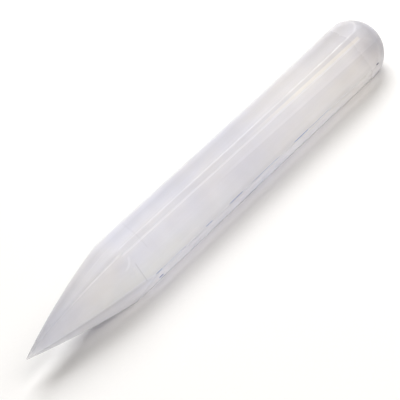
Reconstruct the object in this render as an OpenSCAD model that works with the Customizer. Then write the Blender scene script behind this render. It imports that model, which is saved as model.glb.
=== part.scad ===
// Faceted crystal wand, lying on one of its long facets.
// One solid piece of polished translucent stone: a long bar with six main
// facets and one narrow bevel, a slender faceted point at one end and a
// domed end at the other. Millimetres, +Z up, long axis along X, point
// towards -X, resting facet at Z = 0, origin below the middle of the bar.

/* [Overall] */
// Length from the blunted tip of the point to the crown of the dome
wand_length = 160; // [110:1:220]
// Radius to the long edges of the bar, measured just behind the neck
edge_radius = 11.5; // [9.5:0.1:13.5]

/* [Bar facets] */
// Half width of the top facet, as an angle seen from the bar's centre
top_half_angle = 30; // [26:1:33]
// Width of the narrow bevel along the front upper edge, as an angle
bevel_angle = 15; // [10:1:20]
// Angle from the top to the front lower edge
front_edge_angle = 109; // [96:1:114]
// How much the edge radius shrinks from the neck to the domed end
taper = 0.6; // [0:0.05:1.2]

/* [Point] */
// Length of the point, from the tip to the neck of the front facet
point_length = 46.6; // [38:0.2:56]
// How far the point's facets swell out between the tip and the neck
point_swell = 0.75; // [0.3:0.05:1]
// Distance by which the very tip is blunted
tip_blunt = 0.5; // [0.3:0.1:1]

/* [Domed end] */
// How much larger the dome's radius is than the bar's edge radius there
dome_margin = 0.35; // [0.15:0.05:1.5]

/* [Hidden] */

// Long edges of the bar, as angles from the top, positive towards the front (-Y).
corner = [top_half_angle, top_half_angle + bevel_angle, front_edge_angle,
          150, 210, 270, 360 - top_half_angle];
sides = len(corner);
function next(i) = i < sides - 1 ? corner[i + 1] : corner[0] + 360;
// Direction and distance of the facet that follows corner i.
function facet_dir(i) = (corner[i] + next(i)) / 2;
function facet_dist(i) = edge_radius * cos((next(i) - corner[i]) / 2);

// The facet that the wand rests on faces straight down.
rest_facet = 3;
axis_height = facet_dist(rest_facet);
back_reach = edge_radius;
front_reach = edge_radius * sin(front_edge_angle);

// The point's facets: [direction, distance per millimetre of length,
// swell as a share of point_swell]. They sit a few degrees away from the
// bar's facets, so that the neck runs unevenly round the bar.
slope = 46.6 / point_length * edge_radius / 11.5;
point_facets = [
    [ -1.0, 0.2385, 1.25],
    [ 12.0, 0.2425, 1.25],
    [ 73.5, 0.2090, 1.00],
    [115.5, 0.2380, 0.85],
    [180.0, 0.2505, 0.85],
    [240.0, 0.2440, 1.00],
    [300.0, 0.2360, 1.25],
];

// Length before the very tip is blunted, which is what the wand is cut from.
full_length = wand_length + tip_blunt;

// Dome: a ball centred on the bar's axis.
dome_r = edge_radius - taper + dome_margin;
dome_x = full_length - dome_r;

// The stone ground away over one facet of the point: all that lies outside a
// large arc, from before the tip to just behind the neck. a is the direction
// that the facet faces, [x, d] the arc's centre along the bar and away from
// its axis, r its radius.
module ground_away(a, x, d, r) {
    rotate([a, 0, 0])
        rotate([90, 0, 0])
            linear_extrude(height = 60, center = true)
                difference() {
                    translate([-6, -5]) square([point_length + 12, 30]);
                    translate([x, d]) circle(r = r, $fn = 256);
                }
}

// Everything on the inner side of one long facet. The facet leans in towards
// the domed end by its share of the taper; with lean 0 it is parallel to the
// bar's axis.
module inside_facet(a, d, lean) {
    rotate([a, 0, 0])
        translate([point_length, 0, d])
            rotate([0, lean, 0])
                translate([-point_length - 20, -30, -60])
                    cube([wand_length + 40, 60, 60]);
}

// The bar with all its long facets. The resting facet stays level.
module bar() {
    run = full_length - dome_r - point_length;
    intersection_for (i = [0 : sides - 1])
        inside_facet(facet_dir(i), facet_dist(i),
                     i == rest_facet ? 0
                     : atan(taper * facet_dist(i) / edge_radius / run));
}

// One swelling facet of the point: its arc runs through the tip and through
// the facet's place at the neck.
module point_cut(a, k, share) {
    reach = edge_radius * 0.88 / (k * slope);
    rise = edge_radius * 0.88;
    chord = sqrt(reach * reach + rise * rise);
    s = point_swell * share;
    r = (chord * chord / 4 + s * s) / (2 * s);
    drop = r - s;
    ground_away(a, reach / 2 + drop * rise / chord,
                rise / 2 - drop * reach / chord, r);
}

// The domed end: a ball, and all of the space before its centre.
module dome_envelope() {
    translate([dome_x, 0, 0]) sphere(r = dome_r, $fn = 240);
    translate([tip_blunt, -40, -40]) cube([dome_x - tip_blunt, 80, 80]);
}

// The bar with its dome, after the first n facets of the point are ground.
module ground_bar(n) {
    if (n == 0)
        intersection() {
            bar();
            dome_envelope();
        }
    else
        difference() {
            ground_bar(n - 1);
            point_cut(point_facets[n - 1][0], point_facets[n - 1][1], point_facets[n - 1][2]);
        }
}

module crystal_wand() {
    color([0.86, 0.86, 0.90])
        translate([-(full_length + tip_blunt) / 2, (front_reach - back_reach) / 2, axis_height])
            ground_bar(len(point_facets));
}

crystal_wand();
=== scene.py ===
import math

import bpy
import numpy as np
from mathutils import Matrix, Vector


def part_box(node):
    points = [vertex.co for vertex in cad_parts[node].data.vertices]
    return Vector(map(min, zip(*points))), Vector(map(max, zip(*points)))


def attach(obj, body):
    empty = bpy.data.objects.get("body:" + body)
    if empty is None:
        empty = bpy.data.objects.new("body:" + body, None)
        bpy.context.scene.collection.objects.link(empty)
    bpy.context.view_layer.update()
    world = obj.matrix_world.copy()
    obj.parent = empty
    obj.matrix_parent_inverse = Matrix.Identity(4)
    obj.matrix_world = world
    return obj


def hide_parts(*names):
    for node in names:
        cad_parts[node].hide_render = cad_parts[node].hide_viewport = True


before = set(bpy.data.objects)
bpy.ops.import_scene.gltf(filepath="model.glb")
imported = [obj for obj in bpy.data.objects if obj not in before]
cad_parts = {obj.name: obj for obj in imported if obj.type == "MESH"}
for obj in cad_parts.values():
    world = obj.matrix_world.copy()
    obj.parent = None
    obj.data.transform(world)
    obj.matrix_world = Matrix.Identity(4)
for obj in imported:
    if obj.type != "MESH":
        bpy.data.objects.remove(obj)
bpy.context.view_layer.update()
scene = bpy.context.scene
low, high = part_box("crystal_wand")

# ------------------------------------------------------------------ the shape
# x runs from the sharp apex along the bar, in millimetres; w is the angle round
# the bar's axis from the top, positive towards the front (-Y).
TIP, FULL, NECK, EDGE_R, TAPER = 0.5, 160.5, 46.6, 11.5, 0.6
DOME_R, DOME_X = 11.25, 149.25
AXIS_Z = EDGE_R * math.cos(math.radians(30))
AXIS_Y = EDGE_R * (math.sin(math.radians(109)) - 1) / 2
APEX_X = -(FULL + TIP) / 2
DROOP = 0.6

# Edge radius along the bar: ground by hand, so it waists a little.
WAIST_X = [46, 60, 73, 87, 100, 113, 130, 140, 147]
WAIST_R = [11.50, 11.40, 11.25, 11.08, 10.97, 10.89, 10.86, 10.90, 10.93]
# Long edges at the neck and at the dome: the bevel widens towards the dome.
EDGES_NECK = [29.0, 41.7, 108.9, 150.0, 210.0, 270.0, 330.0]
EDGES_DOME = [32.2, 48.4, 109.0, 150.0, 210.0, 270.0, 330.0]
# The point's facets: direction, distance per millimetre of length, swell.
POINT = [
    [-1.0, 0.2387, 0.93],
    [12.0, 0.2425, 0.93],
    [73.5, 0.2088, 0.75],
    [115.5, 0.2380, 0.64],
    [180.0, 0.2505, 0.64],
    [240.0, 0.2440, 0.75],
    [300.0, 0.2361, 0.93],
]
rad = np.deg2rad


def bar_facets(x):
    allowed = EDGE_R - TAPER * (np.maximum(x, NECK) - NECK) / (DOME_X - NECK)
    r = np.minimum(np.interp(x, WAIST_X, WAIST_R), allowed)
    u = np.clip((x - NECK) / (DOME_X - NECK), 0, 1)
    edge = [a + (b - a) * u for a, b in zip(EDGES_NECK, EDGES_DOME)]
    out = []
    for i in range(7):
        a = edge[i]
        b = edge[i + 1] if i < 6 else edge[0] + 360
        if i == 3:  # the facet it lies on stays flat
            out.append((np.full_like(x, 180.0), np.full_like(x, AXIS_Z)))
        elif i == 6:
            out.append(((a + b) / 2, r * math.cos(math.radians(30)) - 0.02))
        else:
            out.append(((a + b) / 2, r * np.cos(rad((b - a) / 2))))
    return out, edge


def point_facets(x):
    out = []
    for a, k, s in POINT:
        rise = EDGE_R * 0.88
        reach = rise / k
        chord = math.hypot(reach, rise)
        r = (chord**2 / 4 + s * s) / (2 * s)
        drop = r - s
        cx = reach / 2 + drop * rise / chord
        cd = rise / 2 - drop * reach / chord
        d = cd + np.sqrt(np.maximum(r * r - (x - cx) ** 2, 1.0))
        d = np.where(x > cx, cd + r + (x - cx) * 0.02, d)
        out.append((np.full_like(x, a), np.maximum(d, 1e-4)))
    return out


def point_edges(x):
    """Angles where neighbouring facets of the point meet."""
    f = point_facets(x)
    out = []
    for i in range(7):
        (a, da), (b, db) = f[i], f[(i + 1) % 7]
        a, b = rad(a), rad(b if i < 6 else b + 360)
        w = np.degrees(np.arctan2(np.cos(a) / da - np.cos(b) / db, np.sin(b) / db - np.sin(a) / da))
        mid = np.degrees((a + b) / 2)
        w = w + 180 * np.round((mid - w) / 180)
        out.append(w)
    return out


def radius(w, x, sharp=300.0):
    """Distance of the skin from the axis; w is (rows, columns), x is (rows,)."""
    f = bar_facets(x)[0] + point_facets(x)
    c = np.array([np.maximum(np.cos(rad(w - a[:, None])) / d[:, None], 1e-6) for a, d in f])
    top = c.max(axis=0)
    r = 1 / (top * ((c / top) ** sharp).sum(axis=0) ** (1 / sharp))
    ball = np.sqrt(np.maximum((DOME_R - 0.05) ** 2 - np.maximum(x - DOME_X, 0) ** 2, 1e-9))[:, None]
    q = 90.0
    both = (r**-q + ball**-q) ** (-1 / q)
    return np.where(x[:, None] < DOME_X - 4, r, both)


def rows():
    return np.unique(
        np.round(
            np.concatenate([
                TIP + 0.03 + 4.0 * np.linspace(0, 1, 12) ** 1.5,
                np.linspace(4.6, 36, 46),
                np.linspace(36, 53, 90),
                np.linspace(53, 145, 62),
                np.linspace(145, DOME_X, 20),
                DOME_X + (DOME_R - 0.06) * np.sin(np.linspace(0, math.pi / 2, 52)[:-1]),
            ]),
            4,
        )
    )


def make_wand():
    x = rows()
    # Columns follow the long edges, and crowd together on them.
    base = EDGES_NECK
    own = []
    for i in range(7):
        a, b = base[i], base[i + 1] if i < 6 else base[0] + 360
        fine = np.array([0, 0.15, 0.3, 0.5, 0.75, 1.05, 1.45, 2.0])
        n = max(3, int(round((b - a - 4) / 1.3)))
        own.append(np.concatenate([a + fine, np.linspace(a + 2, b - 2, n + 1)[1:-1], b - fine[:0:-1]]))
    own = np.concatenate(own)
    bar = np.array(bar_facets(x)[1])
    pt = np.array(point_edges(x))
    t = np.clip((x - 40.0) / 8.0, 0, 1)
    t = t * t * (3 - 2 * t)
    edge = pt * (1 - t) + bar * t
    edge = np.vstack([edge, edge[:1] + 360])
    ref = np.array(list(base) + [base[0] + 360])
    w = np.array([np.interp(own, ref, edge[:, i]) for i in range(len(x))])
    r = radius(w, x)
    a = rad(w)
    # the tip was ground a little low
    sag = (DROOP * np.clip(1 - x / 42.0, 0, 1) ** 1.3)[:, None]
    p = np.stack([
        np.broadcast_to((x + APEX_X)[:, None], r.shape),
        AXIS_Y - r * np.sin(a),
        np.maximum(AXIS_Z - sag + r * np.cos(a), 0.0),
    ], axis=-1) / 1000.0
    m, n = r.shape
    verts = p.reshape(-1, 3).tolist()
    verts.append([(APEX_X + TIP) / 1000, AXIS_Y / 1000, (AXIS_Z - DROOP) / 1000])
    verts.append([(APEX_X + FULL - 0.05) / 1000, AXIS_Y / 1000, AXIS_Z / 1000])
    faces = []
    for i in range(m - 1):
        for j in range(n):
            k = (j + 1) % n
            faces.append((i * n + j, (i + 1) * n + j, (i + 1) * n + k, i * n + k))
    for j in range(n):
        k = (j + 1) % n
        faces.append((m * n, j, k))
        faces.append((m * n + 1, (m - 1) * n + k, (m - 1) * n + j))
    me = bpy.data.meshes.new("polished_wand")
    me.from_pydata(verts, [], faces)
    me.validate()
    import bmesh
    bm = bmesh.new()
    bm.from_mesh(me)
    bmesh.ops.recalc_face_normals(bm, faces=bm.faces[:])
    bm.to_mesh(me)
    bm.free()
    me.shade_smooth()
    ob = bpy.data.objects.new("polished_wand", me)
    scene.collection.objects.link(ob)
    return ob


wand = make_wand()


# --------------------------------------------------------------- the material
class Nodes:
    """Small helper that writes maths as calls."""

    def __init__(self, mat):
        self.t = mat.node_tree
        self.t.nodes.clear()

    def new(self, kind, **props):
        n = self.t.nodes.new(kind)
        for k, v in props.items():
            setattr(n, k, v)
        return n

    def put(self, sock, v):
        if isinstance(v, bpy.types.NodeSocket):
            self.t.links.new(v, sock)
        else:
            sock.default_value = v

    def m(self, op, a, b=0.0, c=0.0, clamp=False):
        n = self.new("ShaderNodeMath", operation=op, use_clamp=clamp)
        for s, v in zip(n.inputs, (a, b, c)):
            self.put(s, v)
        return n.outputs[0]

    def ramp(self, v, a, b, lo=0.0, hi=1.0, kind="SMOOTHSTEP"):
        n = self.new("ShaderNodeMapRange", interpolation_type=kind, clamp=True) if kind != "SMOOTHSTEP" else self.new("ShaderNodeMapRange", interpolation_type=kind)
        for s, q in zip(n.inputs, (v, a, b, lo, hi)):
            self.put(s, q)
        return n.outputs[0]

    def band(self, v, centre, half, soft):
        """1 within half of centre, falling to 0 over soft."""
        d = self.m("ABSOLUTE", self.m("SUBTRACT", v, centre))
        return self.ramp(d, half, half + soft, 1.0, 0.0)

    def mul(self, *v):
        out = v[0]
        for q in v[1:]:
            out = self.m("MULTIPLY", out, q)
        return out

    def add(self, *v):
        out = v[0]
        for q in v[1:]:
            out = self.m("ADD", out, q)
        return out

    def curve(self, v, points):
        """Piecewise linear function of v."""
        out = points[0][1]
        for (a, fa), (b, fb) in zip(points, points[1:]):
            out = self.m("ADD", self.ramp(v, a, b, 0.0, fb - fa, kind="LINEAR"), out)
        return out

    def noise(self, vec, scale, detail=2.0, rough=0.5, distortion=0.0):
        n = self.new("ShaderNodeTexNoise", noise_dimensions="3D")
        self.put(n.inputs["Vector"], vec)
        n.inputs["Scale"].default_value = scale
        n.inputs["Detail"].default_value = detail
        n.inputs["Roughness"].default_value = rough
        n.inputs["Distortion"].default_value = distortion
        return n.outputs["Fac"]

    def mix(self, f, a, b, mode="MIX"):
        n = self.new("ShaderNodeMix", data_type="RGBA", blend_type=mode)
        self.put(n.inputs[0], f)
        for s, v in ((n.inputs[6], a), (n.inputs[7], b)):
            if isinstance(v, bpy.types.NodeSocket):
                self.put(s, v)
            else:
                s.default_value = (*v, 1.0)
        return n.outputs[2]


def srgb(*c):
    return tuple((v / 255 / 12.92) if v / 255 <= 0.04045 else ((v / 255 + 0.055) / 1.055) ** 2.4 for v in c)


COOL = (208, 211, 228)
WARM = (221, 217, 213)
WARMTH = [(0, -0.1), (10, 0.225), (20, 0.395), (32, 0.537), (40, 0.502), (47, 0.248), (58, 0.331), (74, 0.388), (95, 0.372), (108, 0.55), (122, 0.679), (134, 0.704), (145, 0.751), (150, 0.658), (158, 0.445)]
PAINTED_GLOW = 0.16
# painted light and shade by facet direction: darker on the upward facets, lighter at the front and underneath
PAINTED_FACET_SHADE = [(-180, 1.12), (-150, 1.034), (-60, 0.976), (-30, 0.92), (-10, 0.851), (8, 0.939), (24, 1.02), (34, 0.955), (44, 1.047), (56, 1.092), (75, 1.199), (100, 1.302), (112, 1.102), (124, 1.236), (150, 1.318), (180, 1.12)]
# painted shade along the length: darker towards the tip and towards the dome's end
PAINTED_SHADE_ALONG = [(2, 0.44), (8, 0.632), (14, 0.817), (20, 0.902), (26, 0.994), (32, 1.074), (40, 1.071), (84, 0.968), (98, 0.964), (112, 1.011), (126, 1.003), (136, 0.941), (145, 0.898), (150, 0.749), (157, 0.431)]
# strengths of the painted highlights on the edges, the strip and the ridge
EDGE_HIGHLIGHT_1, EDGE_HIGHLIGHT_2, STRIP_HIGHLIGHT, RIDGE_HIGHLIGHT = 0.11, 0.14, 0.13, 0.16
# blue glints: centre, half length, fade, strength
DASHES = [
    (51.0, 0.8, 1.2, 0.75), (57.2, 5.0, 4.0, 0.22), (73.6, 0.9, 1.0, 0.55), (85.9, 2.2, 1.5, 0.80),
    (99.6, 4.5, 3.0, 0.38), (116.1, 2.4, 1.6, 0.80), (123.8, 3.5, 4.0, 0.35), (137.3, 2.0, 6.0, 0.16),
]


def stone_material():
    mat = bpy.data.materials.new("milky_stone")
    mat.use_nodes = True
    g = Nodes(mat)
    tc = g.new("ShaderNodeTexCoord")
    sep = g.new("ShaderNodeSeparateXYZ")
    g.put(sep.inputs[0], tc.outputs["Object"])
    X, Y, Z = sep.outputs
    x = g.m("MULTIPLY_ADD", X, 1000.0, -APEX_X)
    y = g.m("MULTIPLY_ADD", Y, -1000.0, AXIS_Y)
    z = g.m("MULTIPLY_ADD", Z, 1000.0, -AXIS_Z)
    sag = g.m("MULTIPLY", g.m("POWER", g.ramp(x, 0.0, 42.0, 1.0, 0.0, kind="LINEAR"), 1.3), DROOP)
    z = g.m("ADD", z, sag)
    w = g.m("MULTIPLY", g.m("ARCTAN2", y, z), 180 / math.pi)

    # coordinates in millimetres, stretched along the bar
    cmb = g.new("ShaderNodeCombineXYZ")
    g.put(cmb.inputs[0], g.m("MULTIPLY", x, 0.45))
    g.put(cmb.inputs[1], y)
    g.put(cmb.inputs[2], z)
    stretched = cmb.outputs[0]
    fib = g.new("ShaderNodeCombineXYZ")
    g.put(fib.inputs[0], g.m("MULTIPLY", x, 0.03))
    g.put(fib.inputs[1], y)
    g.put(fib.inputs[2], z)
    fibres = g.noise(fib.outputs[0], 1.1, 3.0, 0.6)
    cloud = g.noise(stretched, 0.085, 2.0, 0.45, 0.3)
    cloud2 = g.noise(stretched, 0.21, 2.0, 0.5)

    aw = g.m("ABSOLUTE", w)
    front = g.ramp(w, -8.0, 12.0, 0.0, 1.0)

    # edge lines of the facets, in the same terms as the mesh
    span = [NECK, DOME_X]
    l1 = g.curve(x, list(zip(span, (EDGES_NECK[0], EDGES_DOME[0]))))
    l2 = g.curve(x, list(zip(span, (EDGES_NECK[1], EDGES_DOME[1]))))
    l4 = EDGES_NECK[2]
    px = np.array([4.0, 12.0, 20.0, 28.0, 36.0, 44.0])
    pe = point_edges(px)
    ridge = g.curve(x, [(float(q), float(v)) for q, v in zip(px, pe[1])])
    upper = g.curve(x, [(float(q), float(v)) for q, v in zip(px, pe[0])])

    # warmth along the length, broken up by the clouds
    warm = g.curve(x, WARMTH)
    warm = g.m("ADD", warm, g.m("MULTIPLY", g.m("SUBTRACT", cloud, 0.5), 0.8))
    # painted light: a warm patch on the point's front facet, where light passes through the stone
    belly = g.mul(g.band(x, 33.0, 3.0, 9.0), g.band(w, 58.0, 10.0, 26.0))
    warm = g.m("ADD", warm, g.m("MULTIPLY", belly, 0.12))
    # painted highlight: a warm bright strip on the bevel before the dome, where a lamp is reflected
    painted_strip_highlight = g.mul(g.ramp(x, 98.0, 122.0, 0.0, 1.0), g.ramp(x, 151.6, 152.3, 1.0, 0.0),
                  g.band(g.m("SUBTRACT", w, l2), -4.2, 2.4, 1.6))
    warm = g.m("ADD", warm, g.m("MULTIPLY", painted_strip_highlight, 0.30), clamp=True)
    col = g.mix(warm, srgb(*COOL), srgb(*WARM))

    # milky depth: clouds, fine fibres along the bar, and faint bands across it
    tone = g.m("MULTIPLY_ADD", g.m("SUBTRACT", cloud2, 0.5), 0.09, 1.0)
    tone = g.m("MULTIPLY_ADD", g.m("SUBTRACT", fibres, 0.5), 0.06, tone)
    bc = g.new("ShaderNodeCombineXYZ")
    g.put(bc.inputs[0], x)
    g.put(bc.inputs[1], g.m("MULTIPLY", y, 0.12))
    g.put(bc.inputs[2], g.m("MULTIPLY", z, 0.12))
    bands = g.noise(bc.outputs[0], 0.14, 1.5, 0.5)
    tone = g.m("MULTIPLY_ADD", g.mul(g.m("SUBTRACT", bands, 0.5), g.ramp(x, 46.0, 56.0, 0.0, 1.0)), 0.10, tone)
    # painted light and shade: the base colour changes with the facet's direction round the bar
    painted_facet_shade = g.curve(w, PAINTED_FACET_SHADE)
    # round the dome the facets end, so the painted facet shade evens out towards its pole
    even = g.ramp(x, 150.0, 159.0, 0.0, 1.0)
    painted_facet_shade = g.m("ADD", painted_facet_shade, g.mul(even, g.m("SUBTRACT", 1.04, painted_facet_shade)))
    # painted shade along the length is multiplied in as well
    tone = g.mul(tone, painted_facet_shade, g.curve(x, PAINTED_SHADE_ALONG))
    # painted shade: the lower facets of the point are darkened
    painted_shade_under = g.mul(g.ramp(w, 101.0, 111.0, 0.0, 1.0), g.ramp(x, 40.0, 47.0, 1.0, 0.0))
    tone = g.mul(tone, g.m("MULTIPLY_ADD", painted_shade_under, -0.11, 1.0))

    # painted highlights: bright lines along the polished edges, the warm strip before the dome, and the point's ridge
    # and upper edge
    on_bar = g.ramp(x, 44.5, 46.5, 0.0, 1.0)
    before_dome = g.ramp(x, 151.3, 152.3, 1.0, 0.0)
    bar_lit = g.mul(on_bar, before_dome)
    tone = g.mul(tone, g.m("MULTIPLY_ADD", g.mul(bar_lit, g.band(g.m("SUBTRACT", w, l1), 0.3, 0.7, 1.1)), EDGE_HIGHLIGHT_1, 1.0))
    tone = g.mul(tone, g.m("MULTIPLY_ADD", g.mul(bar_lit, g.band(g.m("SUBTRACT", w, l2), 0.2, 0.9, 1.3)), EDGE_HIGHLIGHT_2, 1.0))
    tone = g.mul(tone, g.m("MULTIPLY_ADD", painted_strip_highlight, STRIP_HIGHLIGHT, 1.0))
    on_point = g.mul(g.ramp(x, 6.0, 34.0, 0.0, 1.0), g.ramp(x, 43.5, 46.0, 1.0, 0.0))
    tone = g.mul(tone, g.m("MULTIPLY_ADD", g.mul(on_point, g.band(g.m("SUBTRACT", w, ridge), 0.2, 0.8, 1.6)), RIDGE_HIGHLIGHT, 1.0))
    tone = g.mul(tone, g.m("MULTIPLY_ADD", g.mul(on_point, g.ramp(x, 28.0, 36.0, 0.0, 1.0), g.band(g.m("SUBTRACT", w, upper), 0.0, 0.6, 1.0)), 0.05, 1.0))

    # painted refraction: along the front facet, paler just above a line and greyer below it
    l3 = g.m("MULTIPLY_ADD", x, 0.1393, 49.9)
    below = g.m("SUBTRACT", w, l3)
    painted_refraction_shade = g.mul(g.ramp(x, 80.0, 96.0, 0.0, 1.0), g.ramp(below, -0.6, 1.0, 0.0, 1.0), g.ramp(w, 104.0, 112.0, 1.0, 0.0))
    tone = g.mul(tone, g.m("MULTIPLY_ADD", painted_refraction_shade, -0.075, 1.0))
    painted_refraction_pale = g.mul(g.ramp(x, 84.0, 96.0, 0.0, 1.0), g.band(below, -2.0, 1.5, 2.5), g.ramp(x, 150.0, 156.0, 1.0, 0.0))
    tone = g.mul(tone, g.m("MULTIPLY_ADD", painted_refraction_pale, 0.03, 1.0))

    # painted refraction: thin dark lines round the neck, where edges show through the stone
    t2 = g.m("MULTIPLY_ADD", g.m("SUBTRACT", w, 71.0), -0.019, 46.75)
    painted_refraction_line = g.mul(g.band(g.m("SUBTRACT", x, t2), 0.0, 0.10, 0.22), g.ramp(w, 64.0, 72.0, 0.0, 1.0), g.ramp(w, 108.0, 112.0, 1.0, 0.0))
    tone = g.mul(tone, g.m("MULTIPLY_ADD", painted_refraction_line, -0.13, 1.0))
    painted_refraction_line2 = g.mul(g.band(x, 53.3, 0.12, 0.35), g.ramp(w, -30.0, -18.0, 0.0, 1.0), g.ramp(w, 56.0, 64.0, 1.0, 0.0))
    tone = g.mul(tone, g.m("MULTIPLY_ADD", painted_refraction_line2, -0.045, 1.0))
    # painted highlight: a bright crescent just before the neck, a little darker inside it
    v = g.m("MULTIPLY", w, 0.19)
    cx = g.m("SUBTRACT", x, 42.4)
    cv = g.m("SUBTRACT", v, 8.3)
    dist = g.m("SQRT", g.m("ADD", g.mul(cx, cx), g.mul(cv, cv)))
    painted_crescent_highlight = g.mul(g.band(dist, 4.2, 0.15, 0.45), g.ramp(cx, -0.4, 1.4, 0.0, 1.0), g.ramp(cv, 0.4, 1.8, 0.0, 1.0))
    tone = g.mul(tone, g.m("MULTIPLY_ADD", painted_crescent_highlight, 0.09, 1.0))
    inside = g.mul(g.ramp(dist, 4.2, 1.0, 0.0, 1.0), g.ramp(x, 34.0, 41.0, 0.0, 1.0), g.ramp(x, 46.9, 46.2, 0.0, 1.0))
    tone = g.mul(tone, g.m("MULTIPLY_ADD", inside, -0.02, 1.0))
    tone = g.m("MINIMUM", tone, 1.35)

    tcol = g.new("ShaderNodeCombineColor")
    for k in tcol.inputs:
        g.put(k, tone)
    col = g.mix(1.0, col, tcol.outputs[0], "MULTIPLY")

    # thin blue-grey glints along the lower front edge
    edge4 = g.m("SUBTRACT", w, l4)
    dash = 0.0
    for centre, half, soft, power in DASHES:
        dash = g.m("MAXIMUM", dash, g.m("MULTIPLY", g.band(x, centre, half, soft), power))
    thin = g.noise(fib.outputs[0], 2.3, 2.0)
    dash = g.mul(dash, g.ramp(thin, 0.25, 0.55, 0.55, 1.0), g.band(edge4, 0.2, 0.55, 1.1))
    spot = g.mul(g.band(x, 50.9, 0.5, 0.7), g.band(w, 137.0, 2.0, 3.0))
    dot = g.mul(g.band(x, 151.7, 0.35, 0.35), g.band(edge4, 0.0, 0.9, 1.2))
    blue = g.m("MAXIMUM", dash, g.m("MULTIPLY", spot, 0.7), clamp=True)
    col = g.mix(blue, col, srgb(108, 132, 190))
    col = g.mix(g.m("MULTIPLY", dot, 0.85), col, srgb(60, 62, 84))

    b = g.new("ShaderNodeBsdfPrincipled")
    g.put(b.inputs["Base Color"], col)
    # painted light: the underside glows, standing in for light that leaves it after passing through the stone
    glow = g.m("ADD", z, AXIS_Z)
    g.put(b.inputs["Emission Color"], col)
    g.put(b.inputs["Emission Strength"], g.ramp(glow, 8.5, 0.5, 0.0, PAINTED_GLOW))
    rough = g.m("MULTIPLY_ADD", fibres, 0.10, 0.10)
    rough = g.m("ADD", rough, g.ramp(x, 146.0, 154.0, 0.0, 0.36))
    g.put(b.inputs["Roughness"], rough)
    bump = g.new("ShaderNodeBump")
    bump.inputs["Strength"].default_value = 0.25
    bump.inputs["Distance"].default_value = 0.00003
    g.put(bump.inputs["Height"], g.m("MULTIPLY_ADD", cloud2, 0.6, fibres))
    g.put(b.inputs["Normal"], bump.outputs[0])
    b.inputs["IOR"].default_value = 1.52
    b.inputs["Subsurface Weight"].default_value = 1.0
    b.inputs["Subsurface Radius"].default_value = (1.0, 0.95, 0.9)
    b.inputs["Subsurface Scale"].default_value = 0.030
    o = g.new("ShaderNodeOutputMaterial")
    g.put(o.inputs["Surface"], b.outputs[0])
    return mat


wand.data.materials.append(stone_material())
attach(wand, "root")
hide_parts("crystal_wand")

# ------------------------------------------------------ floor, light, camera
fm = bpy.data.meshes.new("floor")
s = 3.0
fm.from_pydata([(-s, -s, 0), (s, -s, 0), (s, s, 0), (-s, s, 0)], [], [(0, 1, 2, 3)])
floor = bpy.data.objects.new("floor", fm)
scene.collection.objects.link(floor)
fmat = bpy.data.materials.new("floor_paper")
fmat.use_nodes = True
g = Nodes(fmat)
tc = g.new("ShaderNodeTexCoord")
grain = g.noise(tc.outputs["Object"], 900.0, 2.0)
col = g.mix(grain, (0.885, 0.880, 0.875), (0.915, 0.910, 0.905))
d = g.new("ShaderNodeBsdfPrincipled")
g.put(d.inputs["Base Color"], col)
d.inputs["Roughness"].default_value = 0.9
d.inputs["Specular IOR Level"].default_value = 0.2
o = g.new("ShaderNodeOutputMaterial")
g.put(o.inputs["Surface"], d.outputs[0])
fm.materials.append(fmat)

WORLD = 0.185
KEY = 47.5
SIDE = 18.5
world = bpy.data.worlds.new("studio")
world.use_nodes = True
world.node_tree.nodes["Background"].inputs["Color"].default_value = (1.0, 0.955, 0.895, 1.0)
world.node_tree.nodes["Background"].inputs["Strength"].default_value = WORLD
scene.world = world


def area(name, place, aim, sx, sy, power, color=(1, 1, 1)):
    li = bpy.data.lights.new(name, "AREA")
    li.shape = "RECTANGLE"
    li.size, li.size_y = sx, sy
    li.energy = power
    li.color = color
    ob = bpy.data.objects.new(name, li)
    ob.location = place
    ob.rotation_euler = (Vector(aim) - Vector(place)).to_track_quat("-Z", "Y").to_euler()
    ob.visible_camera = False
    scene.collection.objects.link(ob)
    return ob


# both large lamps stand to the right, one behind the wand and one before it
area("key", (1.082, 0.866, 1.443), (0, 0, 0), 1.50, 1.50, KEY, (1.0, 1.0, 1.0))
area("side", (1.185, -1.050, 1.220), (0, 0, 0), 1.10, 1.10, SIDE, (1.0, 0.97, 0.935))


def aim_camera():
    e, az, roll, dist = 33.49, 9.38, 37.91, 0.49128
    e, az, roll = (math.radians(v) for v in (e, az, roll))
    c = Vector((-math.cos(e) * math.sin(az), -math.cos(e) * math.cos(az), math.sin(e)))
    rx = Vector((0, 0, 1)).cross(c).normalized()
    ry = c.cross(rx)
    xi = math.cos(roll) * rx - math.sin(roll) * ry
    yi = math.sin(roll) * rx + math.cos(roll) * ry
    cam = bpy.data.cameras.new("camera")
    cam.sensor_width = 36
    cam.sensor_fit = "HORIZONTAL"
    cam.angle = math.radians(15.37)
    cam.clip_start = 0.01
    ob = bpy.data.objects.new("camera", cam)
    target = Vector((-0.00286, -0.00075, 0.00882))
    place = target + c * dist
    mat = Matrix((xi, yi, c)).transposed().to_4x4()
    mat.translation = place
    ob.matrix_world = mat
    scene.collection.objects.link(ob)
    scene.camera = ob


aim_camera()
scene.view_settings.view_transform = "Standard"
scene.view_settings.look = "None"
